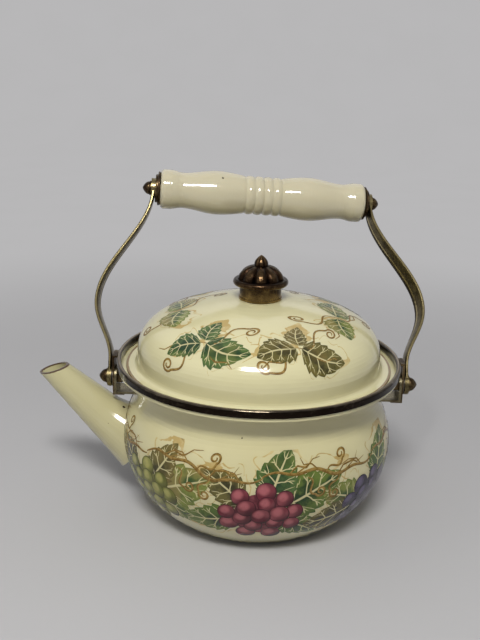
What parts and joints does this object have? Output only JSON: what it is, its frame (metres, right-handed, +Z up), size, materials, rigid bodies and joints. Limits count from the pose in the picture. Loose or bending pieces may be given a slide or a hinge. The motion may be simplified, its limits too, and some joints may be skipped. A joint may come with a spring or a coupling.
{
  "type": "stovetop tea kettle",
  "caption": "Squat enamelled stovetop tea kettle with a short tapered spout, a recessed domed lid and a swinging bail with a turned ceramic grip.",
  "frame": {"origin": "centre of the flat base, on the surface that the kettle stands on", "axes": "+Z up, the spout points along -X, the bail swings about the X direction, and the near side in use is -Y"},
  "size_m": [0.2636, 0.19, 0.223],
  "materials": {
    "enamel": "glossy enamel",
    "rim_metal": "worn satin",
    "ear_brass": "aged satin",
    "arm_brass": "dark aged plating",
    "hardware_brass": "dark aged plating",
    "knob_brass": "antiqued",
    "grip_ceramic": "glazed",
    "plain_steel": "satin"
  },
  "bodies": {
    "kettle": {"kettle_body": "enamel", "rim_band": "rim_metal", "spout": "enamel", "left_bracket": "ear_brass", "right_bracket": "ear_brass", "left_keeper": "ear_brass", "right_keeper": "ear_brass", "left_pivot_bolt": "hardware_brass", "right_pivot_bolt": "hardware_brass", "left_pivot_washer": "plain_steel", "right_pivot_washer": "plain_steel", "left_pivot_nut": "hardware_brass", "right_pivot_nut": "hardware_brass"},
    "bail": {"left_arm": "arm_brass", "right_arm": "arm_brass", "grip": "grip_ceramic", "tie_rod": "plain_steel", "left_end_cap": "hardware_brass", "right_end_cap": "hardware_brass", "left_grip_nut": "hardware_brass", "right_grip_nut": "hardware_brass"},
    "lid": {"lid": "enamel", "knob": "knob_brass", "knob_collar": "knob_brass", "knob_screw": "plain_steel", "knob_washer": "plain_steel"}
  },
  "joints": [
    {"name": "bail_swing", "type": "hinge", "parent": "kettle", "child": "bail", "pos_m": [0, 0, 0.089], "axis": [1, 0, 0], "range_deg": [-61.5, 118.5]},
    {"name": "lid_lift", "type": "slide", "parent": "kettle", "child": "lid", "axis": [0, 0, 1], "range_m": [0, 0.025]}
  ]
}
